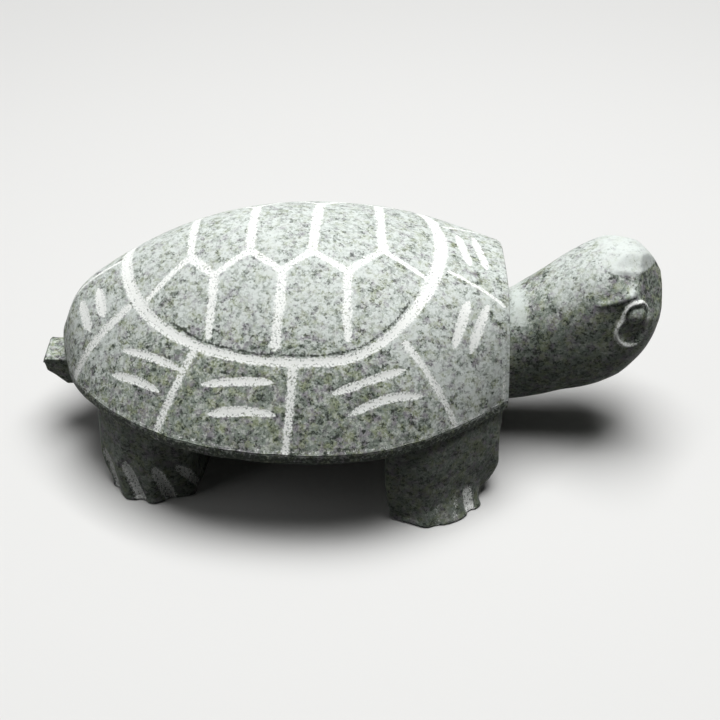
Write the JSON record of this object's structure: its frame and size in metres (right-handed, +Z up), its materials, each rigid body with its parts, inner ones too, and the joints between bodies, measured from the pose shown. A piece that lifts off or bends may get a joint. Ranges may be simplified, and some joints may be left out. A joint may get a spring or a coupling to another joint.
{
  "type": "turtle figurine",
  "caption": "Small turtle figurine in speckled green-grey stone: domed shell with carved scute lines, raised head, stubby legs and short tail, resting on its soles.",
  "frame": {"origin": "on the ground, half way between the tip of the tail and the tip of the nose, in the middle of the width", "axes": "+X toward the head, +Y toward the turtle's left side, +Z up"},
  "size_m": [0.108, 0.0644, 0.0416],
  "materials": {
    "stone": "satin, speckled, with paler carved lines"
  },
  "bodies": {
    "root": {"carapace": "stone", "body": "stone", "head_and_neck": "stone", "tail": "stone", "front_right_leg": "stone", "front_left_leg": "stone", "rear_right_leg": "stone", "rear_left_leg": "stone"}
  },
  "joints": []
}
